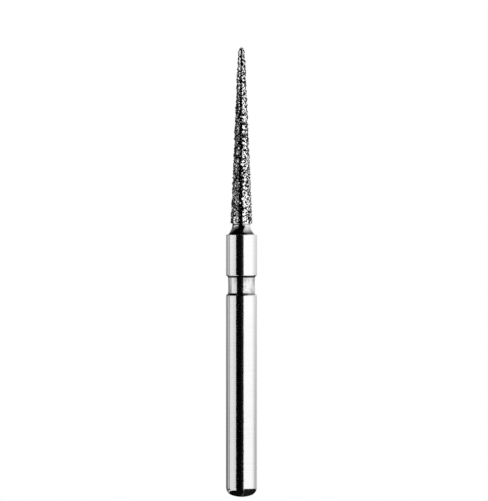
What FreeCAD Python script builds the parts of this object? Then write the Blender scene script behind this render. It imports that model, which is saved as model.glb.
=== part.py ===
import FreeCAD, Part
import Sketcher
import math
import os
import random

# A needle-shaped dental bur: a turned steel blank, and the diamond coat plated on its tapered core.
# The bur stands along +Z, tip up. The origin is the lowest point of the shank's rounded end.
# All lengths are in millimetres.

SIZES = (
    ("shank_diameter", 1.60, "ground shank that the chuck grips"),
    ("grip_length", 10.38, "from the shank's end to the mouth of the groove"),
    ("end_dome_radius", 1.50, "shallow dome on the shank's end"),
    ("end_corner_radius", 0.44, "round between the dome and the shank's side"),
    ("groove_length", 1.15, "length of the groove's mouth"),
    ("groove_depth", 0.10, "from the shank's surface to either end of the groove's floor"),
    ("groove_floor_radius", 6.0, "slight hollow that the form tool leaves along the floor"),
    ("groove_flank_length", 0.14, "length along the axis of each slanted flank"),
    ("collar_length", 2.04, "full-diameter land between the groove and the shoulder"),
    ("edge_break_radius", 0.04, "round on the turned edges"),
    ("shoulder_width", 0.13, "flat step round the foot of the neck"),
    ("neck_length", 0.58, "hollow sweep from the shoulder to the coat's lower edge"),
    ("core_base_diameter", 0.93, "core's diameter at the coat's lower edge"),
    ("core_length", 9.05, "tapered core, from the neck to the end of its rounded tip"),
    ("core_tip_radius", 0.09, "round on the core's tip"),
    ("bond_thickness", 0.055, "plated nickel between the core and the valleys of the grit"),
    ("grain_pitch", 0.155, "spacing of the diamond grains"),
    ("grain_height", 0.04, "how far a middling grain stands out of the nickel"),
)

# How uneven the grit is. Scatters are shares of the spacing or of the grain's height, either way.
SIDEWAYS_SCATTER = 0.20
HEIGHT_SCATTER = 0.30
TILT_SCATTER = 0.45
CROWN_CORNERS = 3
CROWN_TWIST = 0.25
CROWN_REACH = (0.26, 0.38)
FEWEST_GRAINS_AROUND = 5
GRIT_SEED = 859

# How far the groove's profile runs out past the shank's surface, so that it cuts right through it.
CUT_OVERRUN = 0.10
# Lengths closer than this are the same.
SAME_LENGTH = 1e-6

FULL_TURN = 2 * math.pi
ORIGIN_POINT = (-1, 1)
UPRIGHT_AXIS = -2
START, END, CENTRE = 1, 2, 3


def make_sheet(doc):
    sheet = doc.addObject("Spreadsheet::Sheet", "Sizes")
    for row, (alias, number, note) in enumerate(SIZES, start=1):
        sheet.set(f"A{row}", alias)
        sheet.set(f"B{row}", str(number))
        sheet.setAlias(f"B{row}", alias)
        sheet.set(f"C{row}", note)
    doc.recompute()
    return sheet


class Blank:
    """Places on the blank that more than one feature needs, worked out from the sheet."""

    def __init__(self, sheet):
        self.shank_radius = sheet.shank_diameter / 2
        self.groove_bottom = sheet.grip_length
        self.groove_top = self.groove_bottom + sheet.groove_length
        self.shoulder_height = self.groove_top + sheet.collar_length
        self.neck_root_radius = self.shank_radius - sheet.shoulder_width
        self.neck_top = self.shoulder_height + sheet.neck_length
        self.core_radius = sheet.core_base_diameter / 2
        self.tip_radius = sheet.core_tip_radius
        self.tip_height = self.neck_top + sheet.core_length
        self.tip_centre = self.tip_height - self.tip_radius
        # The core's side leans in by the taper angle and runs tangent into the round of its tip.
        rise = self.tip_centre - self.neck_top
        slant = math.hypot(rise, self.core_radius)
        self.taper = math.atan2(self.core_radius, rise) - math.asin(self.tip_radius / slant)


def add_sketch(body, name):
    """A sketch on the body's XZ plane: across it is the radius, and up it is the height."""
    sketch = body.newObject("Sketcher::SketchObject", name)
    plane = next(p for p in body.Origin.OriginFeatures if p.Role == "XZ_Plane")
    sketch.AttachmentSupport = [(plane, "")]
    sketch.MapMode = "FlatFace"
    return sketch


def flat(radius, height):
    return FreeCAD.Vector(radius, height, 0)


def add_line(sketch, start, end, construction=False):
    return sketch.addGeometry(Part.LineSegment(start, end), construction)


def add_arc(sketch, centre, radius, first_angle, last_angle):
    circle = Part.Circle(centre, FreeCAD.Vector(0, 0, 1), radius)
    return sketch.addGeometry(Part.ArcOfCircle(circle, first_angle, last_angle), False)


def tie(sketch, *rule):
    return sketch.addConstraint(Sketcher.Constraint(*rule))


def bind(sketch, name, formula, *rule):
    """Adds a constraint that measures something, and binds its value to the sheet."""
    index = tie(sketch, *rule)
    sketch.renameConstraint(index, name)
    sketch.setExpression(f"Constraints.{name}", formula)


def draw_turned_profile(body, sheet):
    """Half of the blank's section: dome, corner, shank, shoulder, hollow neck, core and tip."""
    sketch = add_sketch(body, "turned_profile")
    blank = Blank(sheet)

    dome_radius = sheet.end_dome_radius
    corner_radius = sheet.end_corner_radius
    corner_across = blank.shank_radius - corner_radius
    corner_drop = math.sqrt((dome_radius - corner_radius) ** 2 - corner_across ** 2)
    corner_centre = flat(corner_across, dome_radius - corner_drop)
    join_angle = math.atan2(-corner_drop, corner_across)

    side_foot = flat(blank.shank_radius, corner_centre.y)
    side_top = flat(blank.shank_radius, blank.shoulder_height)
    neck_root = flat(blank.neck_root_radius, blank.shoulder_height)
    neck_top = flat(blank.core_radius, blank.neck_top)
    outward = flat(math.cos(blank.taper), math.sin(blank.taper))
    sweep = neck_root - neck_top
    neck_radius = sweep.dot(sweep) / (2 * outward.dot(sweep))
    neck_centre = neck_top + outward * neck_radius
    root_angle = math.atan2(neck_centre.y - neck_root.y, neck_centre.x - neck_root.x)
    tip_centre = flat(0, blank.tip_centre)

    dome = add_arc(sketch, flat(0, dome_radius), dome_radius, -math.pi / 2, join_angle)
    corner = add_arc(sketch, corner_centre, corner_radius, join_angle, 0)
    side = add_line(sketch, side_foot, side_top)
    shoulder = add_line(sketch, side_top, neck_root)
    neck = add_arc(sketch, neck_centre, neck_radius, math.pi + blank.taper, math.pi + root_angle)
    core = add_line(sketch, neck_top, tip_centre + outward * blank.tip_radius)
    tip = add_arc(sketch, tip_centre, blank.tip_radius, blank.taper, math.pi / 2)
    axis = add_line(sketch, flat(0, blank.tip_height), flat(0, 0))

    tie(sketch, "Coincident", dome, START, *ORIGIN_POINT)
    tie(sketch, "PointOnObject", dome, CENTRE, UPRIGHT_AXIS)
    tie(sketch, "Tangent", dome, END, corner, START)
    tie(sketch, "Tangent", corner, END, side, START)
    tie(sketch, "Vertical", side)
    tie(sketch, "Coincident", side, END, shoulder, START)
    tie(sketch, "Horizontal", shoulder)
    tie(sketch, "Coincident", shoulder, END, neck, END)
    tie(sketch, "Tangent", neck, START, core, START)
    tie(sketch, "Tangent", core, END, tip, START)
    tie(sketch, "PointOnObject", tip, CENTRE, UPRIGHT_AXIS)
    tie(sketch, "Coincident", tip, END, axis, START)
    tie(sketch, "Coincident", axis, END, *ORIGIN_POINT)
    tie(sketch, "Vertical", axis)

    bind(sketch, "dome_radius", "Sizes.end_dome_radius", "Radius", dome, dome_radius)
    bind(sketch, "corner_radius", "Sizes.end_corner_radius", "Radius", corner, corner_radius)
    bind(sketch, "shank_radius", "Sizes.shank_diameter / 2",
         "DistanceX", *ORIGIN_POINT, side, END, blank.shank_radius)
    bind(sketch, "shoulder_height", "Sizes.grip_length + Sizes.groove_length + Sizes.collar_length",
         "DistanceY", *ORIGIN_POINT, side, END, blank.shoulder_height)
    bind(sketch, "shoulder_width", "Sizes.shoulder_width",
         "DistanceX", shoulder, END, shoulder, START, sheet.shoulder_width)
    bind(sketch, "neck_length", "Sizes.neck_length",
         "DistanceY", side, END, core, START, sheet.neck_length)
    bind(sketch, "core_radius", "Sizes.core_base_diameter / 2",
         "DistanceX", *ORIGIN_POINT, core, START, blank.core_radius)
    bind(sketch, "core_length", "Sizes.core_length",
         "DistanceY", core, START, tip, END, sheet.core_length)
    bind(sketch, "tip_radius", "Sizes.core_tip_radius", "Radius", tip, blank.tip_radius)
    return sketch


def draw_groove_profile(body, sheet):
    """The groove's section. A construction line marks its mouth on the shank's surface."""
    sketch = add_sketch(body, "groove_profile")
    blank = Blank(sheet)
    bottom = blank.groove_bottom
    top = blank.groove_top
    flank_length = sheet.groove_flank_length
    floor_radius = blank.shank_radius - sheet.groove_depth
    outer_radius = blank.shank_radius + CUT_OVERRUN
    outer_spread = flank_length / sheet.groove_depth * CUT_OVERRUN

    half_floor = (top - bottom) / 2 - flank_length
    hollow_radius = sheet.groove_floor_radius
    hollow_angle = math.asin(half_floor / hollow_radius)
    hollow_centre = flat(floor_radius + hollow_radius * math.cos(hollow_angle), (bottom + top) / 2)

    floor_foot = flat(floor_radius, bottom + flank_length)
    floor_top = flat(floor_radius, top - flank_length)
    outer_top = flat(outer_radius, top + outer_spread)
    outer_foot = flat(outer_radius, bottom - outer_spread)
    floor = add_arc(sketch, hollow_centre, hollow_radius,
                    math.pi - hollow_angle, math.pi + hollow_angle)
    upper_flank = add_line(sketch, floor_top, outer_top)
    outside = add_line(sketch, outer_top, outer_foot)
    lower_flank = add_line(sketch, outer_foot, floor_foot)
    mouth = add_line(sketch, flat(blank.shank_radius, bottom), flat(blank.shank_radius, top), True)

    tie(sketch, "Coincident", floor, START, upper_flank, START)
    tie(sketch, "Coincident", upper_flank, END, outside, START)
    tie(sketch, "Coincident", outside, END, lower_flank, START)
    tie(sketch, "Coincident", lower_flank, END, floor, END)
    tie(sketch, "Vertical", floor, START, floor, END)
    tie(sketch, "Vertical", outside)
    tie(sketch, "Vertical", mouth)
    tie(sketch, "PointOnObject", mouth, START, lower_flank)
    tie(sketch, "PointOnObject", mouth, END, upper_flank)
    tie(sketch, "DistanceX", mouth, START, outside, START, CUT_OVERRUN)

    bind(sketch, "shank_radius", "Sizes.shank_diameter / 2",
         "DistanceX", *ORIGIN_POINT, mouth, START, blank.shank_radius)
    bind(sketch, "mouth_height", "Sizes.grip_length",
         "DistanceY", *ORIGIN_POINT, mouth, START, bottom)
    bind(sketch, "mouth_length", "Sizes.groove_length",
         "DistanceY", mouth, START, mouth, END, sheet.groove_length)
    bind(sketch, "depth", "Sizes.groove_depth",
         "DistanceX", floor, END, mouth, START, sheet.groove_depth)
    bind(sketch, "floor_radius", "Sizes.groove_floor_radius", "Radius", floor, hollow_radius)
    bind(sketch, "lower_flank_length", "Sizes.groove_flank_length",
         "DistanceY", mouth, START, floor, END, flank_length)
    bind(sketch, "upper_flank_length", "Sizes.groove_flank_length",
         "DistanceY", floor, START, mouth, END, flank_length)
    return sketch


def rim_edges(shape, radius, heights):
    """Names of the circular edges of one radius that lie at any of the heights."""
    names = []
    for number, edge in enumerate(shape.Edges, start=1):
        if edge.Degenerated or not isinstance(edge.Curve, Part.Circle):
            continue
        centre = edge.Curve.Center
        right_radius = abs(edge.Curve.Radius - radius) < SAME_LENGTH
        if right_radius and any(abs(centre.z - height) < SAME_LENGTH for height in heights):
            names.append(f"Edge{number}")
    return names


def make_steel_blank(doc, sheet):
    """The blank as it is made: bar turned to its profile, the groove cut, the edges broken."""
    body = doc.addObject("PartDesign::Body", "steel_blank")
    profile = draw_turned_profile(body, sheet)
    turning = body.newObject("PartDesign::Revolution", "turning")
    turning.Profile = profile
    turning.ReferenceAxis = (profile, ["V_Axis"])
    turning.Angle = 360
    doc.recompute()

    groove_profile = draw_groove_profile(body, sheet)
    groove = body.newObject("PartDesign::Groove", "band_groove")
    groove.Profile = groove_profile
    groove.ReferenceAxis = (groove_profile, ["V_Axis"])
    groove.Angle = 360
    doc.recompute()
    if groove.Shape.Volume >= turning.Shape.Volume:
        raise RuntimeError("the groove cut nothing out of the turned blank")

    blank = Blank(sheet)
    heights = (blank.groove_bottom, blank.groove_top, blank.shoulder_height)
    rims = rim_edges(groove.Shape, blank.shank_radius, heights)
    if len(rims) != len(heights):
        raise RuntimeError(f"{len(heights)} turned edges expected, {len(rims)} found")
    edge_break = body.newObject("PartDesign::Fillet", "edge_break")
    edge_break.Base = (groove, rims)
    edge_break.setExpression("Radius", "Sizes.edge_break_radius")
    body.Tip = edge_break
    doc.recompute()
    return body


class BondSurface:
    """The nickel's outer surface, which runs beside the core's side and round its tip."""

    def __init__(self, sheet):
        blank = Blank(sheet)
        self.taper = blank.taper
        self.base_height = blank.neck_top
        self.base_radius = blank.core_radius + sheet.bond_thickness / math.cos(blank.taper)
        self.tip_centre = blank.tip_centre
        self.tip_radius = blank.tip_radius + sheet.bond_thickness
        self.side_top = self.tip_centre + self.tip_radius * math.sin(self.taper)
        self.side_length = (self.side_top - self.base_height) / math.cos(self.taper)
        self.length = self.side_length + self.tip_radius * (math.pi / 2 - self.taper)

    def section(self, distance):
        """Radius, height and upward lean of the surface, at a distance from its lower edge."""
        if distance < self.side_length:
            radius = self.base_radius - distance * math.sin(self.taper)
            return radius, self.base_height + distance * math.cos(self.taper), self.taper
        lean = self.taper + (distance - self.side_length) / self.tip_radius
        radius = self.tip_radius * math.cos(lean)
        return radius, self.tip_centre + self.tip_radius * math.sin(lean), lean

    def settle(self, point):
        """The place on the surface that lies straight out from a point close under it."""
        if point.z > self.side_top:
            centre = FreeCAD.Vector(0, 0, self.tip_centre)
            return centre + (point - centre).normalize() * self.tip_radius
        radius = self.base_radius - (point.z - self.base_height) * math.tan(self.taper)
        scale = radius / math.hypot(point.x, point.y)
        return FreeCAD.Vector(point.x * scale, point.y * scale, point.z)


class Seat:
    """Where one grain sits on the nickel: its centre, and the directions round, up and out."""

    def __init__(self, surface, distance, turn):
        radius, height, lean = surface.section(distance)
        across = FreeCAD.Vector(math.cos(turn), math.sin(turn), 0)
        upright = FreeCAD.Vector(0, 0, 1)
        self.turn = turn
        self.centre = across * radius + upright * height
        self.round = FreeCAD.Vector(-math.sin(turn), math.cos(turn), 0)
        self.up = across * -math.sin(lean) + upright * math.cos(lean)
        self.out = across * math.cos(lean) + upright * math.sin(lean)

    def bearing(self, point):
        """The direction of a point as seen from straight above the grain."""
        away = point - self.centre
        return math.atan2(away.dot(self.up), away.dot(self.round)) % FULL_TURN

    def place(self, bearing, reach, lift):
        """A point above the grain, out to one side by reach and off the nickel by lift."""
        sideways = self.round * math.cos(bearing) + self.up * math.sin(bearing)
        return self.centre + sideways * reach + self.out * lift


def seat_rings(surface, pitch, scatter):
    """Rings of seats from the coat's lower edge up, and a last ring of one seat on the tip."""
    ring_step = pitch * math.sqrt(3) / 2
    ring_count = round(surface.length / ring_step - 0.5)
    ring_step = surface.length / (ring_count + 0.5)
    rings = []
    for ring in range(ring_count):
        middle = (ring + 0.5) * ring_step
        circumference = FULL_TURN * surface.section(middle)[0]
        around = max(FEWEST_GRAINS_AROUND, round(circumference / pitch))
        first = scatter.random()
        seats = []
        for place in range(around):
            drift = scatter.uniform(-SIDEWAYS_SCATTER, SIDEWAYS_SCATTER)
            distance = middle + ring_step * scatter.uniform(-SIDEWAYS_SCATTER, SIDEWAYS_SCATTER)
            turn = FULL_TURN * (first + place + drift) / around
            seats.append(Seat(surface, distance, turn % FULL_TURN))
        rings.append(sorted(seats, key=lambda seat: seat.turn))
    rings.append([Seat(surface, surface.length, 0)])
    return rings


def lace(lower, upper):
    """Joins two rings, given as rising angles, with triangles of (ring, place) corners.

    Ring 0 is the lower or outer one, and ring 1 the upper or inner one.
    """
    def angle(ring, place):
        laps, spot = divmod(place, len(ring))
        return ring[spot] + laps * FULL_TURN

    low = 0
    high = min(range(-1, len(upper)), key=lambda place: abs(angle(upper, place) - lower[0]))
    low_end = low + len(lower)
    high_end = high + len(upper) if len(upper) > 1 else high
    triangles = []
    while low < low_end or high < high_end:
        here = (0, low % len(lower)), (1, high % len(upper))
        low_middle = angle(lower, low) + angle(lower, low + 1)
        high_middle = angle(upper, high) + angle(upper, high + 1)
        if high == high_end or (low < low_end and low_middle < high_middle):
            low += 1
            triangles.append((here[0], (0, low % len(lower)), here[1]))
        else:
            high += 1
            triangles.append((here[0], (1, high % len(upper)), here[1]))
    return triangles


class GritSkin:
    """The coat's outer skin: each grain is a tilted crown on walls that fall to shared valleys."""

    def __init__(self, sheet):
        self.surface = BondSurface(sheet)
        self.height = sheet.grain_height
        self.pitch = sheet.grain_pitch
        self.scatter = random.Random(GRIT_SEED)
        self.rings = seat_rings(self.surface, self.pitch, self.scatter)
        self.points = []
        self.facets = []
        self.valleys = [[[] for _ in ring] for ring in self.rings]
        self.sink_valleys()
        self.close_base()
        for ring, valleys in zip(self.rings, self.valleys):
            for seat, around in zip(ring, valleys):
                self.raise_grain(seat, around)

    def add_point(self, point):
        self.points.append(point)
        return len(self.points) - 1

    def sink_valleys(self):
        """A valley point on the nickel between each three neighbouring grains."""
        for number, (lower, upper) in enumerate(zip(self.rings, self.rings[1:])):
            turns = [seat.turn for seat in lower], [seat.turn for seat in upper]
            for corners in lace(*turns):
                centres = [self.rings[number + side][place].centre for side, place in corners]
                middle = (centres[0] + centres[1] + centres[2]) / 3
                valley = self.add_point(self.surface.settle(middle))
                for side, place in corners:
                    self.valleys[number + side][place].append(valley)

    def close_base(self):
        """The flat underside, a fan whose rim has a point between each two of the lowest grains."""
        lowest = self.rings[0]
        hub = self.add_point(FreeCAD.Vector(0, 0, self.surface.base_height))
        rim = []
        for place, seat in enumerate(lowest):
            following = (place + 1) % len(lowest)
            gap = (lowest[following].turn - seat.turn) % FULL_TURN
            radius, height, _ = self.surface.section(0)
            turn = seat.turn + gap / 2
            across = FreeCAD.Vector(math.cos(turn), math.sin(turn), 0)
            rim.append(self.add_point(across * radius + FreeCAD.Vector(0, 0, height)))
            self.valleys[0][place].append(rim[-1])
            self.valleys[0][following].append(rim[-1])
        for place, point in enumerate(rim):
            self.facets.append((hub, point, rim[place - 1]))

    def raise_grain(self, seat, valleys):
        """One grain: a crown of a few corners, and facets down to the valleys round it."""
        valleys.sort(key=lambda valley: seat.bearing(self.points[valley]))
        mean_lift = self.height * (1 + self.scatter.uniform(-HEIGHT_SCATTER, HEIGHT_SCATTER))
        first = self.scatter.random()
        crown = []
        for corner in range(CROWN_CORNERS):
            twist = self.scatter.uniform(-CROWN_TWIST, CROWN_TWIST)
            bearing = FULL_TURN * (first + corner + twist / 2) / CROWN_CORNERS
            reach = self.pitch * self.scatter.uniform(*CROWN_REACH)
            lift = mean_lift * (1 + self.scatter.uniform(-TILT_SCATTER, TILT_SCATTER))
            crown.append((bearing % FULL_TURN, self.add_point(seat.place(bearing, reach, lift))))
        crown.sort()

        rings = valleys, [point for _, point in crown]
        bearings = [seat.bearing(self.points[valley]) for valley in valleys]
        for corners in lace(bearings, [bearing for bearing, _ in crown]):
            self.facets.append(tuple(rings[side][place] for side, place in corners))
        self.facets.append(tuple(rings[1]))

    def solid(self):
        """The facets sewn into one solid. They share their points, so the sewing closes no gap."""
        points = [tuple(point) for point in self.points]
        skin = Part.Shape()
        skin.makeShapeFromMesh((points, self.facets), SAME_LENGTH)
        return Part.makeSolid(skin)


def make_diamond_coat(doc, sheet, blank):
    """The grit skin as a solid, bored out by the core that it is plated on."""
    skin = doc.addObject("Part::Feature", "grit_skin")
    skin.Shape = GritSkin(sheet).solid()
    coat = doc.addObject("Part::Cut", "diamond_coat")
    coat.Base = skin
    coat.Tool = blank
    coat.Refine = False
    doc.recompute()
    return coat


def check(doc, parts):
    for item in doc.Objects:
        if "Invalid" in item.State or "Error" in item.State:
            raise RuntimeError(f"{item.Label} is not computed: {item.State}")
    for part in parts:
        if part.Shape.isNull() or not part.Shape.isValid() or len(part.Shape.Solids) != 1:
            raise RuntimeError(f"{part.Label} is not one valid solid")


def main():
    doc = FreeCAD.newDocument("needle_bur")
    sheet = make_sheet(doc)
    blank = make_steel_blank(doc, sheet)
    coat = make_diamond_coat(doc, sheet, blank)
    parts = (blank, coat)
    check(doc, parts)
    os.makedirs("parts", exist_ok=True)
    for part in parts:
        part.Shape.exportStep(f"parts/{part.Label}.step")
        print(part.Label, round(part.Shape.Volume, 4), len(part.Shape.Faces))


main()
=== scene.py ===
import math
import random

import bmesh
import bpy
from mathutils import Euler, Matrix, Vector


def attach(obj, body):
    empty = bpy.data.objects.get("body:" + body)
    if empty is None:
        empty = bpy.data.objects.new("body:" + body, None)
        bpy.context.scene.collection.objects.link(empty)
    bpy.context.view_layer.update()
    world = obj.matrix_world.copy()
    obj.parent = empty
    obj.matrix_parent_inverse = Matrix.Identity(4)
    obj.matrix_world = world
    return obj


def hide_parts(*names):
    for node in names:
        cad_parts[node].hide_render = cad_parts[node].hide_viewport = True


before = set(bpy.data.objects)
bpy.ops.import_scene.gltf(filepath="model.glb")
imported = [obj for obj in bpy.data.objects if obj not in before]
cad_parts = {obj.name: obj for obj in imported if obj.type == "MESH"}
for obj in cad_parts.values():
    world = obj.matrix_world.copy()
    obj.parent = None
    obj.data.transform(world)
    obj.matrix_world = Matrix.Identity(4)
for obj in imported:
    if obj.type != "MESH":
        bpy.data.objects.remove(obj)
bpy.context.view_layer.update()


# The blank is one bar of stainless steel, turned to a round-ended shank, a narrow groove, a collar,
# a waisted neck and a slim tapered core, and then ground bright round its axis.
# It is drawn in millimetres as half a section, turned round the axis and brought to metres.
SHANK_RADIUS = 0.80
DOME_RADIUS = 1.50
CORNER_RADIUS = 0.44
EDGE_RADIUS = 0.025
GROOVE_START = 10.408
GROOVE_END = 11.512
GROOVE_DEPTH = 0.10
GROOVE_FLANK_LEAN = 48
GROOVE_LIP_RADIUS = 0.07
GROOVE_CORNER_RADIUS = 0.09
GROOVE_FLOOR_RADIUS = 6.0
SHOULDER_HEIGHT = 13.585
NECK_FOOT_RADIUS = 0.695
COAT_FOOT = 14.15
CORE_FOOT_RADIUS = 0.465
CORE_TIP_RADIUS = 0.09
CORE_TIP_CENTRE = 23.11
TURNS = 256
ARC_STEPS = 8
CORNER_STEPS = 18
GROOVE_FLOOR_STEPS = 10
NECK_STEPS = 14
CORE_STEPS = 8
TIP_STEPS = 6
SAME_POINT = 0.0001
SHARPEST_SMOOTH = math.radians(25)
# A ring of points just past each arc, and one each millimetre up the shank, keep its shading even.
BESIDE_AN_ARC = 0.02
SHANK_RINGS = range(1, 11)


def start_section(radius, height):
    """One vertex beside the axis, ready to be drawn out into half a section."""
    bpy.ops.object.select_all(action="DESELECT")
    bpy.ops.mesh.primitive_plane_add(size=1)
    bpy.ops.object.mode_set(mode="EDIT")
    bpy.ops.mesh.merge(type="CENTER")
    bpy.ops.transform.translate(value=(radius, 0, height))


def line_to(radius, height):
    """Draws the section on in a straight line."""
    section = bmesh.from_edit_mesh(bpy.context.object.data)
    end = next(v.co for v in section.verts if v.select)
    bpy.ops.mesh.extrude_vertices_move(
        TRANSFORM_OT_translate={"value": (radius - end.x, 0, height - end.z)}
    )


def arc_about(radius, height, degrees, steps):
    """Draws the section on round a centre, from outwards to upwards where degrees is positive."""
    bpy.ops.mesh.spin(
        steps=steps, angle=math.radians(degrees), center=(radius, 0, height), axis=(0, 1, 0)
    )


def turn_section(name, turns):
    """Turns the section round the axis and closes its seam and poles."""
    bpy.ops.mesh.select_all(action="SELECT")
    bpy.ops.mesh.spin(steps=turns, angle=math.tau, center=(0, 0, 0), axis=(0, 0, 1))
    bpy.ops.mesh.select_all(action="SELECT")
    bpy.ops.mesh.remove_doubles(threshold=SAME_POINT)
    bpy.ops.mesh.normals_make_consistent(inside=False)
    bpy.ops.object.mode_set(mode="OBJECT")
    piece = bpy.context.object
    piece.name = piece.data.name = name
    return piece


def bring_to_metres(piece):
    """Everything is modelled in millimetres. Its place and size go into its mesh."""
    bpy.ops.object.select_all(action="DESELECT")
    piece.select_set(True)
    bpy.context.view_layer.objects.active = piece
    piece.scale = (0.001, 0.001, 0.001)
    bpy.ops.object.transform_apply(location=True, rotation=True, scale=True)


def angle_of(radius, height):
    """The angle of a direction in the section, in degrees from outwards to upwards."""
    return math.degrees(math.atan2(height, radius))


dome_reach = math.asin((SHANK_RADIUS - CORNER_RADIUS) / (DOME_RADIUS - CORNER_RADIUS))
corner_height = DOME_RADIUS - (DOME_RADIUS - CORNER_RADIUS) * math.cos(dome_reach)
flank = math.radians(GROOVE_FLANK_LEAN)
rounds = GROOVE_LIP_RADIUS + GROOVE_CORNER_RADIUS
flank_drop = GROOVE_DEPTH - rounds * (1 - math.cos(flank))
side_height = rounds * math.sin(flank) + flank_drop / math.tan(flank)
floor_radius = SHANK_RADIUS - GROOVE_DEPTH
corner_centre = floor_radius + GROOVE_CORNER_RADIUS
floor_half = (GROOVE_END - GROOVE_START) / 2 - side_height
floor_swing = math.degrees(math.asin(floor_half / GROOVE_FLOOR_RADIUS))
floor_centre = floor_radius + math.sqrt(GROOVE_FLOOR_RADIUS**2 - floor_half**2)
lip_centre = SHANK_RADIUS - GROOVE_LIP_RADIUS
lip_end = Vector((math.cos(flank), math.sin(flank))) * GROOVE_LIP_RADIUS
core_rise = CORE_TIP_CENTRE - COAT_FOOT
core_length = math.sqrt(core_rise**2 + CORE_FOOT_RADIUS**2 - CORE_TIP_RADIUS**2)
core_lean = angle_of(core_rise, CORE_FOOT_RADIUS) - math.degrees(
    math.asin(CORE_TIP_RADIUS / math.hypot(core_rise, CORE_FOOT_RADIUS))
)
core_out = Vector((math.cos(math.radians(core_lean)), math.sin(math.radians(core_lean))))
neck_chord = Vector((CORE_FOOT_RADIUS - NECK_FOOT_RADIUS, COAT_FOOT - SHOULDER_HEIGHT))
neck_radius = -neck_chord.length_squared / (2 * neck_chord.dot(core_out))
neck_centre = Vector((CORE_FOOT_RADIUS, COAT_FOOT)) + neck_radius * core_out
neck_swing = (
    angle_of(neck_centre.x - NECK_FOOT_RADIUS, neck_centre.y - SHOULDER_HEIGHT) - core_lean
)

start_section(0, 0)
arc_about(0, DOME_RADIUS, math.degrees(dome_reach), ARC_STEPS)
arc_about(
    SHANK_RADIUS - CORNER_RADIUS, corner_height, 90 - math.degrees(dome_reach), CORNER_STEPS
)
line_to(SHANK_RADIUS, corner_height + BESIDE_AN_ARC)
for height in SHANK_RINGS:
    line_to(SHANK_RADIUS, height)
line_to(SHANK_RADIUS, GROOVE_START - BESIDE_AN_ARC)
line_to(SHANK_RADIUS, GROOVE_START)
arc_about(lip_centre, GROOVE_START, GROOVE_FLANK_LEAN, ARC_STEPS)
line_to(
    lip_centre + lip_end.x - flank_drop, GROOVE_START + lip_end.y + flank_drop / math.tan(flank)
)
arc_about(corner_centre, GROOVE_START + side_height, -GROOVE_FLANK_LEAN, ARC_STEPS)
arc_about(floor_centre, (GROOVE_START + GROOVE_END) / 2, -2 * floor_swing, GROOVE_FLOOR_STEPS)
arc_about(corner_centre, GROOVE_END - side_height, -GROOVE_FLANK_LEAN, ARC_STEPS)
line_to(lip_centre + lip_end.x, GROOVE_END - lip_end.y)
arc_about(lip_centre, GROOVE_END, GROOVE_FLANK_LEAN, ARC_STEPS)
line_to(SHANK_RADIUS, GROOVE_END + BESIDE_AN_ARC)
line_to(SHANK_RADIUS, SHOULDER_HEIGHT - EDGE_RADIUS - BESIDE_AN_ARC)
line_to(SHANK_RADIUS, SHOULDER_HEIGHT - EDGE_RADIUS)
arc_about(SHANK_RADIUS - EDGE_RADIUS, SHOULDER_HEIGHT - EDGE_RADIUS, 90, ARC_STEPS)
line_to(SHANK_RADIUS - EDGE_RADIUS - BESIDE_AN_ARC, SHOULDER_HEIGHT)
line_to(NECK_FOOT_RADIUS, SHOULDER_HEIGHT)
arc_about(neck_centre.x, neck_centre.y, -neck_swing, NECK_STEPS)
for step in range(1, CORE_STEPS + 1):
    climb = step / CORE_STEPS * core_length
    line_to(CORE_FOOT_RADIUS - climb * core_out.y, COAT_FOOT + climb * core_out.x)
arc_about(0, CORE_TIP_CENTRE, 90 - core_lean, TIP_STEPS)
steel_blank = turn_section("ground_blank", TURNS)
bring_to_metres(steel_blank)
bpy.ops.object.shade_smooth_by_angle(angle=SHARPEST_SMOOTH)


def add_node(material, kind, inputs=None, **settings):
    """A node with its settings, and its inputs set or wired from another node's output."""
    node = material.node_tree.nodes.new(kind)
    for setting, value in settings.items():
        setattr(node, setting, value)
    for socket, value in (inputs or {}).items():
        if isinstance(value, bpy.types.NodeSocket):
            material.node_tree.links.new(value, node.inputs[socket])
        else:
            node.inputs[socket].default_value = value
    return node


def add_ramp(material, share, stops):
    """A colour ramp of greys, with stops as pairs of place and grey."""
    node = add_node(material, "ShaderNodeValToRGB", {"Fac": share})
    ramp = node.color_ramp
    while len(ramp.elements) < len(stops):
        ramp.elements.new(1.0)
    for element, (place, grey) in zip(ramp.elements, stops):
        element.position = place
        element.color = (grey, grey, grey, 1)
    return node


def shade_up_the_axis(material, place, stops):
    """A grey that follows the height, with stops as pairs of millimetres and grey."""
    low, high = stops[0][0], stops[-1][0]
    height = add_node(material, "ShaderNodeSeparateXYZ", {"Vector": place}).outputs["Z"]
    share = add_node(
        material,
        "ShaderNodeMapRange",
        {"Value": height, "From Min": low / 1000, "From Max": high / 1000},
    ).outputs["Result"]
    stops = [((stop - low) / (high - low), grey) for stop, grey in stops]
    return add_ramp(material, share, stops).outputs["Color"]


steel = bpy.data.materials.new("ground_steel_finish")
steel.use_nodes = True
shader = steel.node_tree.nodes["Principled BSDF"]
shader.inputs["Metallic"].default_value = 1.0
place = add_node(steel, "ShaderNodeTexCoord").outputs["Object"]
# White where the blank is left as turned: in the groove and above the shoulder.
turned = shade_up_the_axis(
    steel,
    place,
    ((10.45, 0), (10.49, 1), (11.42, 1), (11.47, 0), (13.57, 0), (13.61, 1), (14.20, 1)),
)
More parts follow.
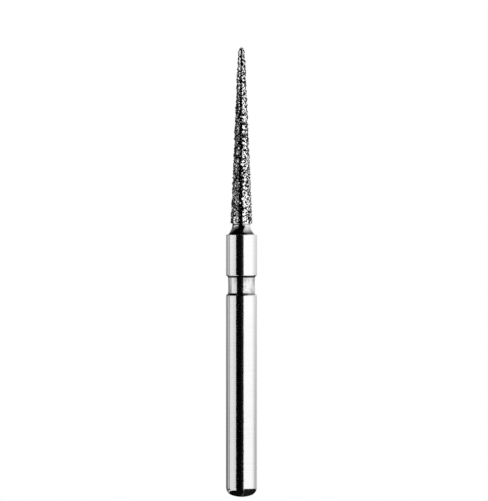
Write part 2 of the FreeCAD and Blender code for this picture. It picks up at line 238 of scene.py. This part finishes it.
# Painted shade, darker where shade falls: in the groove's corners, at the neck's foot and under the
# coat.
painted_shade = shade_up_the_axis(
    steel,
    place,
    (
        (10.460, 1.0),
        (10.475, 0.35),
        (10.520, 0.40),
        (10.560, 0.65),
        (10.600, 1.0),
        (11.350, 1.0),
        (11.361, 0.02),
        (11.457, 0.02),
        (11.466, 1.0),
        (13.586, 1.0),
        (13.592, 0.15),
        (13.680, 0.22),
        (13.740, 0.65),
        (13.820, 1.0),
        (14.060, 1.0),
        (14.100, 0.55),
        (14.200, 0.55),
    ),
)
waves = add_node(
    steel, "ShaderNodeTexNoise", {"Vector": place, "Scale": 2600, "Detail": 2, "Roughness": 0.55}
).outputs["Fac"]
round_axis = add_node(
    steel, "ShaderNodeMapping", {"Vector": place, "Scale": (500, 500, 24000)}
).outputs["Vector"]
grinding = add_node(
    steel, "ShaderNodeTexNoise", {"Vector": round_axis, "Scale": 1, "Detail": 3, "Roughness": 0.6}
).outputs["Fac"]
speckle = add_node(
    steel, "ShaderNodeTexNoise", {"Vector": place, "Scale": 9000, "Detail": 2, "Roughness": 0.6}
).outputs["Fac"]
normal = None
for pattern, ground_depth, turned_depth in (
    (waves, 0.0000024, 0.0000036),
    (speckle, 0.0000004, 0.0000008),
    (grinding, 0.0000005, 0.0000007),
):
    depth = add_node(
        steel,
        "ShaderNodeMapRange",
        {"Value": turned, "To Min": ground_depth, "To Max": turned_depth},
    ).outputs["Result"]
    bump = add_node(
        steel, "ShaderNodeBump", {"Height": pattern, "Distance": depth, "Strength": 1.0}
    )
    if normal is not None:
        steel.node_tree.links.new(normal, bump.inputs["Normal"])
    normal = bump.outputs["Normal"]
steel.node_tree.links.new(normal, shader.inputs["Normal"])
ground_tone = add_ramp(steel, grinding, ((0.30, 0.74), (0.70, 0.79))).outputs["Color"]
turned_tone = add_ramp(steel, waves, ((0.37, 0.46), (0.56, 0.73))).outputs["Color"]
tone = add_node(
    steel, "ShaderNodeMix", {0: turned, 6: ground_tone, 7: turned_tone}, data_type="RGBA"
).outputs[2]
# The steel's tone is darkened by the painted shade.
tone = add_node(
    steel, "ShaderNodeVectorMath", {0: tone, 1: painted_shade}, operation="MULTIPLY"
).outputs["Vector"]
steel.node_tree.links.new(tone, shader.inputs["Base Color"])
ground_gloss = add_ramp(steel, speckle, ((0.30, 0.09), (0.70, 0.13))).outputs["Color"]
turned_gloss = add_ramp(steel, speckle, ((0.30, 0.10), (0.70, 0.15))).outputs["Color"]
gloss = add_node(
    steel, "ShaderNodeMix", {"Factor": turned, "A": ground_gloss, "B": turned_gloss}
).outputs["Result"]
steel.node_tree.links.new(gloss, shader.inputs["Roughness"])
steel_blank.data.materials.append(steel)
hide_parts("steel_blank")
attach(steel_blank, "root")


# The bond is the nickel that holds the grit, plated on the core as one thin skin. It is bright,
# with its small pits between the grains painted dark as painted shade, and its rounded lower edge
# is a small step out from the neck.
BOND_FOOT_RADIUS = 0.505
BOND_THICKNESS = BOND_FOOT_RADIUS - CORE_FOOT_RADIUS
BOND_TIP_RADIUS = CORE_TIP_RADIUS + BOND_THICKNESS
BOND_EDGE = 0.02
BOND_TURNS = 96
BOND_STEPS = 220
BOND_EDGE_STEPS = 4
BOND_TIP_STEPS = 8
BOND_SHARPEST_SMOOTH = math.radians(60)

bond_foot = Vector((CORE_FOOT_RADIUS, COAT_FOOT)) + BOND_THICKNESS * core_out
start_section(CORE_FOOT_RADIUS, COAT_FOOT)
line_to(BOND_FOOT_RADIUS - BOND_EDGE, COAT_FOOT)
arc_about(BOND_FOOT_RADIUS - BOND_EDGE, COAT_FOOT + BOND_EDGE, 90, BOND_EDGE_STEPS)
for step in range(1, BOND_STEPS + 1):
    climb = step / BOND_STEPS * core_length
    if climb > 2 * BOND_EDGE:
        line_to(bond_foot.x - climb * core_out.y, bond_foot.y + climb * core_out.x)
arc_about(0, CORE_TIP_CENTRE, 90 - core_lean, BOND_TIP_STEPS)
line_to(0, CORE_TIP_CENTRE + CORE_TIP_RADIUS)
arc_about(0, CORE_TIP_CENTRE, core_lean - 90, BOND_TIP_STEPS // 2)
line_to(CORE_FOOT_RADIUS, COAT_FOOT)
nickel_bond = turn_section("nickel_bond", BOND_TURNS)
bring_to_metres(nickel_bond)
bpy.ops.object.shade_smooth_by_angle(angle=BOND_SHARPEST_SMOOTH)

nickel = bpy.data.materials.new("nickel_bond_finish")
nickel.use_nodes = True
shader = nickel.node_tree.nodes["Principled BSDF"]
shader.inputs["Metallic"].default_value = 1.0
place = add_node(nickel, "ShaderNodeTexCoord").outputs["Object"]
pits_and_shade = add_node(
    nickel, "ShaderNodeTexNoise", {"Vector": place, "Scale": 9000, "Detail": 1}
).outputs["Fac"]
pit_bump = add_node(
    nickel, "ShaderNodeBump", {"Height": pits_and_shade, "Distance": 0.000003, "Strength": 1.0}
).outputs["Normal"]
nickel.node_tree.links.new(pit_bump, shader.inputs["Normal"])
# Painted shade: the bond's colour is black in its pits and bright elsewhere.
shade = add_ramp(nickel, pits_and_shade, ((0.48, 0.0), (0.50, 1.0)))
nickel.node_tree.links.new(shade.outputs["Color"], shader.inputs["Base Color"])
gloss = add_ramp(nickel, pits_and_shade, ((0.35, 0.18), (0.65, 0.10)))
nickel.node_tree.links.new(gloss.outputs["Color"], shader.inputs["Roughness"])
nickel_bond.data.materials.append(nickel)
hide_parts("diamond_coat")
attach(nickel_bond, "root")


# The grit is one layer of blocky diamond crystals, sunk in the bond. Over half of their flat tops
# have a bright film of nickel, the others are bare and dark, and their sides lie between, painted
# darker than the films as painted shade in the crevices between the grains. They are set round the
# core, each turned, leaned, sized and sunk a little differently, as copies of a few.
GRIT_SEED = 5
GRIT_COUNT = 1350
GRIT_SIZE = (0.054, 0.088)
GRIT_WIDTH_SHARE = (0.8, 1.0)
GRIT_HEIGHT_SHARE = 0.8
GRIT_STAND = (0.024, 0.080)
GRIT_LEAN = 8.5
GRIT_STRAY = 0.022
BARE_SHARE = 0.45
BARE_TONE = (0.0, 0.04)
FILMED_TONE = (0.90, 1.0)
# The grey of the grains' sides, painted shade for the crevices between them.
PAINTED_SIDE_SHADE = (0.05, 0.60)
FACES_OUT = 0.8
LOWEST_GRAIN = 0.06
GOLDEN_TURN = math.radians(137.50776)
# How far each model crystal's upright edges are cut off, and how far its corners stray.
CRYSTALS = ((0.30, 0.03), (0.38, 0.04), (0.24, 0.03), (0.34, 0.05), (0.45, 0.04))
# The turn round the axis, in radians, and the lean up from level, in degrees, of the tip's grains.
TIP_SEATS = ((0.3, 88), (0.9, 42), (2.5, 38), (4.1, 45), (5.3, 36))
scatter = random.Random(GRIT_SEED)

crystals = []
for cut, stray in CRYSTALS:
    bpy.ops.object.select_all(action="DESELECT")
    bpy.ops.mesh.primitive_cube_add(size=1)
    bpy.ops.object.mode_set(mode="EDIT")
    bpy.ops.mesh.select_all(action="DESELECT")
    block = bmesh.from_edit_mesh(bpy.context.object.data)
    for edge in block.edges:
        edge.select = edge.verts[0].co.z * edge.verts[1].co.z < 0
    bpy.ops.mesh.bevel(offset=cut, affect="EDGES", segments=1)
    bpy.ops.mesh.select_all(action="SELECT")
    bpy.ops.transform.vertex_random(offset=stray, seed=len(crystals) + 1)
    bpy.ops.mesh.normals_make_consistent(inside=False)
    bpy.ops.object.mode_set(mode="OBJECT")
    crystals.append(bpy.context.object)

seats = []
for count in range(GRIT_COUNT):
    share = (count + 0.5) / GRIT_COUNT
    wide, narrow = bond_foot.x, BOND_TIP_RADIUS
    climb = (wide - math.sqrt(wide**2 - (wide**2 - narrow**2) * share)) / (wide - narrow)
    climb = climb * core_length + scatter.uniform(-GRIT_STRAY, GRIT_STRAY)
    climb = max(LOWEST_GRAIN, climb)
    radius = bond_foot.x - climb * core_out.y
    turn = count * GOLDEN_TURN + scatter.uniform(-GRIT_STRAY, GRIT_STRAY) / radius
    outwards = Vector((core_out.x, 0, core_out.y))
    seats.append((turn, Vector((radius, 0, bond_foot.y + climb * core_out.x)), outwards))
for turn, lean in TIP_SEATS:
    outwards = Vector((math.cos(math.radians(lean)), 0, math.sin(math.radians(lean))))
    seats.append((turn, Vector((0, 0, CORE_TIP_CENTRE)) + BOND_TIP_RADIUS * outwards, outwards))

grains = []
for turn, seat, outwards in seats:
    grain = scatter.choice(crystals).copy()
    grain.data = grain.data.copy()
    size = scatter.uniform(*GRIT_SIZE)
    width = size * scatter.uniform(*GRIT_WIDTH_SHARE)
    stretch = Matrix.Diagonal((size, width, size * GRIT_HEIGHT_SHARE, 1))
    spun = Matrix.Rotation(scatter.uniform(0, math.tau), 4, "Z")
    leant = Euler([math.radians(scatter.gauss(0, GRIT_LEAN)) for _ in range(2)] + [0]).to_matrix()
    stood = outwards.to_track_quat("Z", "Y").to_matrix().to_4x4()
    grain.data.transform(stood @ leant.to_4x4() @ spun @ stretch)
    filmed = scatter.random() > BARE_SHARE
    top_tone = scatter.uniform(*(FILMED_TONE if filmed else BARE_TONE))
    # The sides get a darker grey, painted shade for the crevices between the grains.
    painted_side_shade = scatter.uniform(*PAINTED_SIDE_SHADE)
    tone = grain.data.attributes.new("tone", "FLOAT", "FACE")
    for face in grain.data.polygons:
        on_top = face.normal.dot(outwards) > FACES_OUT
        tone.data[face.index].value = top_tone if on_top else painted_side_shade
    reach = max(corner.co.dot(outwards) for corner in grain.data.vertices)
    rise = scatter.uniform(*GRIT_STAND) - reach
    grain.data.transform(
        Matrix.Rotation(turn, 4, "Z") @ Matrix.Translation(seat + outwards * rise)
    )
    bpy.context.collection.objects.link(grain)
    grains.append(grain)

bpy.ops.object.select_all(action="DESELECT")
for crystal in crystals:
    bpy.data.objects.remove(crystal)
for grain in grains:
    grain.select_set(True)
bpy.context.view_layer.objects.active = grains[0]
bpy.ops.object.join()
diamond_grit = bpy.context.object
diamond_grit.name = diamond_grit.data.name = "diamond_grains"
bring_to_metres(diamond_grit)
bpy.ops.object.shade_flat()

grit = bpy.data.materials.new("diamond_grit_finish")
grit.use_nodes = True
shader = grit.node_tree.nodes["Principled BSDF"]
shader.inputs["Metallic"].default_value = 1.0
tone = add_node(grit, "ShaderNodeAttribute", attribute_name="tone").outputs["Fac"]
grit.node_tree.links.new(tone, shader.inputs["Base Color"])
place = add_node(grit, "ShaderNodeTexCoord").outputs["Object"]
film = add_node(
    grit, "ShaderNodeTexNoise", {"Vector": place, "Scale": 16000, "Detail": 1}
).outputs["Fac"]
film_bump = add_node(
    grit, "ShaderNodeBump", {"Height": film, "Distance": 0.0000015, "Strength": 1.0}
).outputs["Normal"]
grit.node_tree.links.new(film_bump, shader.inputs["Normal"])
gloss = add_ramp(grit, film, ((0.35, 0.10), (0.65, 0.20)))
grit.node_tree.links.new(gloss.outputs["Color"], shader.inputs["Roughness"])
diamond_grit.data.materials.append(grit)
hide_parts("diamond_coat")
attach(diamond_grit, "root")


# The studio is a pale floor below the bur that fades out into the white, and a ring of paper cards,
# black flags and softboxes round it that only its polished faces see. Azimuths are in degrees from
# the camera's side, positive to the right, and the cards' heights and reaches in millimetres.
FLOOR_HEIGHT = -25.0
WALL = 60.0
LOW_FOOT = -10.0
LOW_HEAD = 16.0
HEAD = 64.0
GRADE_HEAD = 14.0
LEFT_HEADS = (18.5, 26.5, 34, 50)
RIGHT_HEADS = (30, 45)
LEFT_EDGE = -106.8
STRIPE_LEFT = -41.8
STRIPE_RIGHT = 16.4
RIGHT_EDGE = 95.5
NEAR_AXIS = 0.01
ROOF_HOLE = 3
ROOF_FLAG_REACH = 26
OVERHEAD_REACH = 4
BELOW_REACH = 3.0
BELOW_LEFT = -1.08
BELOW_RIGHT = -0.07
BELOW_RIM_LIGHT = 0.05
UNDERNEATH_REACH = 14
ON_THE_FLOOR = FLOOR_HEIGHT + 0.1
DEGREES_A_STEP = 3

# Each card's name, its left and right azimuths, and its light at the bur's foot and at its neck.
LOW_CARDS = (
    ("gap_behind_left", -180, -155, 0.08, 0.12),
    ("card_behind_left", -155, -138, 0.25, 0.57),
    ("card_rear_left", -138, -120.4, 0.20, 0.45),
    ("card_left_edge", -120.4, LEFT_EDGE, 0.60, 0.68),
    ("card_left_seam", LEFT_EDGE, -95.8, 0.40, 0.42),
    ("card_left", -95.8, -66, 0.96, 1.07),
    ("card_left_fold", -66, -57.4, 0.91, 0.94),
    ("card_left_lip", -57.4, STRIPE_LEFT, 0.86, 0.90),
    ("flag_front", STRIPE_LEFT, -4, 0.0, 0.002),
    ("flag_front_edge", -4, 8, 0.005, 0.010),
    ("flag_front_lip", 8, STRIPE_RIGHT, 0.018, 0.035),
    ("softbox_lip", STRIPE_RIGHT, 23, 1.17, 1.27),
    ("softbox", 23, 86, 1.24, 1.33),
    ("softbox_edge", 86, RIGHT_EDGE, 1.14, 1.26),
    ("softbox_rim", RIGHT_EDGE, 108, 1.00, 1.14),
    ("card_right_edge", 108, 122, 0.67, 1.01),
    ("card_rear_right", 122, 141, 0.53, 0.88),
    ("card_behind_right", 141, 155, 1.00, 1.12),
    ("gap_behind_right", 155, 180, 0.08, 0.12),
)
# Each card's name, its left and right azimuths, and its light.
FOOT_CARDS = (
    ("flag_foot_left", -180, -96, 0.12),
    ("card_foot_left", -96, STRIPE_LEFT, 0.95),
    ("flag_foot_front", STRIPE_LEFT, STRIPE_RIGHT, 0.0),
    ("softbox_foot", STRIPE_RIGHT, RIGHT_EDGE, 1.24),
    ("flag_foot_right", RIGHT_EDGE, 180, 0.12),
)
# Each card's name, its left and right azimuths, its foot and head, and its light at both.
HIGH_CARDS = (
    ("flag_behind_left", -180, LEFT_EDGE, LOW_HEAD, LEFT_HEADS[2], 0.02, 0.25),
    ("card_head_left", LEFT_EDGE, STRIPE_LEFT, LOW_HEAD, LEFT_HEADS[0], 1.10, 1.10),
    ("flag_over_left", LEFT_EDGE, STRIPE_LEFT, LEFT_HEADS[0], LEFT_HEADS[1], 0.20, 0.24),
    ("card_over_left", LEFT_EDGE, STRIPE_LEFT, LEFT_HEADS[1], LEFT_HEADS[2], 1.00, 1.50),
    ("flag_upper_left", -180, STRIPE_LEFT, LEFT_HEADS[2], LEFT_HEADS[3], 0.12, 0.16),
    ("flag_top_left", -180, STRIPE_LEFT, LEFT_HEADS[3], HEAD, 0.02, 0.0),
    ("flag_over_front", STRIPE_LEFT, STRIPE_RIGHT, LOW_HEAD, HEAD, 0.0, 0.0),
    ("softbox_over", STRIPE_RIGHT, 95, LOW_HEAD, RIGHT_HEADS[0], 1.30, 1.25),
    ("flag_upper_corner", STRIPE_RIGHT, 45, RIGHT_HEADS[0], RIGHT_HEADS[1], 0.02, 0.0),
    ("softbox_upper", 45, 100, RIGHT_HEADS[0], RIGHT_HEADS[1], 1.1, 0.9),
    ("flag_top_corner", STRIPE_RIGHT, 38, RIGHT_HEADS[1], HEAD, 0.0, 0.0),
    ("softbox_top", 38, 100, RIGHT_HEADS[1], HEAD, 0.9, 0.8),
    ("card_over_rear_right", 95, 180, LOW_HEAD, RIGHT_HEADS[0], 1.05, 1.15),
    ("card_upper_rear_right", 100, 180, RIGHT_HEADS[0], HEAD, 0.7, 0.7),
)
# Each card's name, its left and right azimuths, its outer and inner reach, its height, its light.
FLAT_CARDS = (
    ("flag_roof_left", -180, 30, WALL, ROOF_HOLE, HEAD, 0.0),
    ("softbox_roof", 30, 180, WALL, ROOF_FLAG_REACH, HEAD, 0.7),
    ("flag_roof_right", 30, 180, ROOF_FLAG_REACH, ROOF_HOLE, HEAD, 0.02),
    ("softbox_overhead", -180, 180, OVERHEAD_REACH, NEAR_AXIS, HEAD - 1, 0.9),
    ("flag_below_left", -180, STRIPE_RIGHT, BELOW_REACH, NEAR_AXIS, BELOW_LEFT, 0.003),
    ("flag_below_seam", STRIPE_RIGHT, 180, BELOW_REACH, NEAR_AXIS, BELOW_LEFT, BELOW_RIM_LIGHT),
    ("flag_below_right", STRIPE_RIGHT, 180, BELOW_REACH, NEAR_AXIS, BELOW_RIGHT, 0.012),
    ("flag_before", STRIPE_LEFT, STRIPE_RIGHT, WALL, UNDERNEATH_REACH, ON_THE_FLOOR, 0.003),
    ("flag_underneath", -180, 180, UNDERNEATH_REACH, NEAR_AXIS, ON_THE_FLOOR, 0.003),
)


def glow(card, bottom, top, low, high):
    """Gives a card light of its own, from one level at the bottom to another at the top."""
    light = bpy.data.materials.new(card.name + "_light")
    light.use_nodes = True
    light.node_tree.nodes.clear()
    place = add_node(light, "ShaderNodeTexCoord").outputs["Object"]
    height = add_node(light, "ShaderNodeSeparateXYZ", {"Vector": place}).outputs["Z"]
    level = add_node(
        light,
        "ShaderNodeMapRange",
        {
            "Value": height,
            "From Min": bottom / 1000,
            "From Max": top / 1000,
            "To Min": low,
            "To Max": high,
        },
    ).outputs["Result"]
    lit = add_node(light, "ShaderNodeEmission", {"Strength": level})
    add_node(light, "ShaderNodeOutputMaterial", {"Surface": lit.outputs["Emission"]})
    card.data.materials.append(light)


def hang_card(name, left, right, bottom, top):
    """A card bent round the bur between two azimuths and two points, seen in reflections alone."""
    start_section(*bottom)
    line_to(*top)
    bpy.ops.mesh.select_all(action="SELECT")
    bpy.ops.mesh.spin(
        steps=max(2, round((right - left) / DEGREES_A_STEP)),
        angle=math.radians(right - left),
        center=(0, 0, 0),
        axis=(0, 0, -1),
    )
    bpy.ops.object.mode_set(mode="OBJECT")
    card = bpy.context.object
    card.name = card.data.name = name
    card.rotation_euler.z = math.radians(left - 90)
    bring_to_metres(card)
    card.visible_camera = False
    card.visible_diffuse = False
    card.visible_transmission = False
    card.visible_volume_scatter = False
    card.visible_shadow = False
    return card


for name, left, right, at_foot, at_neck in LOW_CARDS:
    card = hang_card(name, left, right, (WALL, LOW_FOOT), (WALL, LOW_HEAD))
    glow(card, 0, GRADE_HEAD, at_foot, at_neck)
for name, left, right, level in FOOT_CARDS:
    card = hang_card(name, left, right, (WALL, FLOOR_HEIGHT), (WALL, LOW_FOOT))
    glow(card, FLOOR_HEIGHT, LOW_FOOT, level, level)
for name, left, right, bottom, top, low, high in HIGH_CARDS:
    card = hang_card(name, left, right, (WALL, bottom), (WALL, top))
    glow(card, bottom, top, low, high)
for name, left, right, outer, inner, height, level in FLAT_CARDS:
    card = hang_card(name, left, right, (outer, height), (inner, height))
    glow(card, height - 1, height + 1, level, level)
card = hang_card(
    "flag_below_rim", STRIPE_RIGHT, 180, (BELOW_REACH, BELOW_LEFT), (BELOW_REACH, BELOW_RIGHT)
)
glow(card, BELOW_LEFT, BELOW_RIGHT, BELOW_RIM_LIGHT, BELOW_RIM_LIGHT)

# The floor's radius, and where it starts and ends to fade out, in metres.
FLOOR_RADIUS = 0.35
FADE_START = 0.06
FADE_END = 0.32
FLOOR_EDGES = 128

bpy.ops.object.select_all(action="DESELECT")
bpy.ops.mesh.primitive_circle_add(
    vertices=FLOOR_EDGES,
    radius=FLOOR_RADIUS,
    fill_type="NGON",
    location=(0, 0, FLOOR_HEIGHT / 1000),
)
bpy.ops.object.transform_apply(location=True, rotation=True, scale=True)
floor = bpy.context.object
floor.name = floor.data.name = "pale_floor"
paper = bpy.data.materials.new("pale_floor_paper")
paper.use_nodes = True
shader = paper.node_tree.nodes["Principled BSDF"]
shader.inputs["Roughness"].default_value = 0.9
shader.inputs["Specular IOR Level"].default_value = 0.1
place = add_node(paper, "ShaderNodeTexCoord").outputs["Object"]
fibre = add_node(paper, "ShaderNodeTexNoise", {"Vector": place, "Scale": 400}).outputs["Fac"]
shade = add_ramp(paper, fibre, ((0.3, 0.93), (0.7, 0.96)))
paper.node_tree.links.new(shade.outputs["Color"], shader.inputs["Base Color"])
reach = add_node(paper, "ShaderNodeVectorMath", {0: place}, operation="LENGTH").outputs["Value"]
fading = add_node(
    paper,
    "ShaderNodeMapRange",
    {"Value": reach, "From Min": FADE_START, "From Max": FADE_END},
    interpolation_type="SMOOTHSTEP",
).outputs["Result"]
from_below = add_node(paper, "ShaderNodeNewGeometry").outputs["Backfacing"]
unseen = add_node(paper, "ShaderNodeMath", {0: fading, 1: from_below}, operation="MAXIMUM")
clear = add_node(paper, "ShaderNodeBsdfTransparent").outputs["BSDF"]
faded = add_node(
    paper,
    "ShaderNodeMixShader",
    {0: unseen.outputs["Value"], 1: shader.outputs["BSDF"], 2: clear},
)
surface = paper.node_tree.nodes["Material Output"].inputs["Surface"]
paper.node_tree.links.new(faded.outputs["Shader"], surface)
floor.data.materials.append(paper)

# Two soft lamps light what isn't polished, placed and sized in metres.
for name, place, size, power in (
    ("key_light", (0.26, -0.24, 0.34), 0.24, 1.1),
    ("fill_light", (-0.30, -0.16, 0.26), 0.30, 0.5),
):
    lamp = bpy.data.lights.new(name, "AREA")
    lamp.size = size
    lamp.energy = power
    stand = bpy.data.objects.new(name, lamp)
    stand.location = place
    stand.rotation_euler = Vector(place).to_track_quat("Z", "Y").to_euler()
    stand.visible_glossy = False
    bpy.context.collection.objects.link(stand)

# The world is white to the eye and in reflections, and a little dimmer as light.
scene = bpy.context.scene
world = scene.world or bpy.data.worlds.new("studio")
scene.world = world
world.use_nodes = True
world.node_tree.nodes.clear()
rays = add_node(world, "ShaderNodeLightPath").outputs
seen = rays["Is Camera Ray"]
for kind in ("Is Glossy Ray", "Is Transmission Ray"):
    seen = add_node(
        world, "ShaderNodeMath", {0: seen, 1: rays[kind]}, operation="ADD", use_clamp=True
    ).outputs["Value"]
level = add_node(
    world, "ShaderNodeMapRange", {"Value": seen, "To Min": 0.6, "To Max": 1.0}
).outputs["Result"]
sky = add_node(world, "ShaderNodeBackground", {"Color": (1, 1, 1, 1), "Strength": level})
add_node(world, "ShaderNodeOutputWorld", {"Surface": sky.outputs["Background"]})
scene.view_settings.view_transform = "Standard"

# The camera looks level at the bur from about 216 mm away. Its place is in metres.
CAMERA_PLACE = (0.000132, -0.2163, 0.012764)

camera = bpy.data.cameras.new("camera")
camera.lens = 300
camera.sensor_width = 36
camera.clip_start = 0.01
camera.clip_end = 10
stand = bpy.data.objects.new("camera", camera)
stand.location = CAMERA_PLACE
stand.rotation_euler = (math.radians(90), 0, 0)
bpy.context.collection.objects.link(stand)
scene.camera = stand
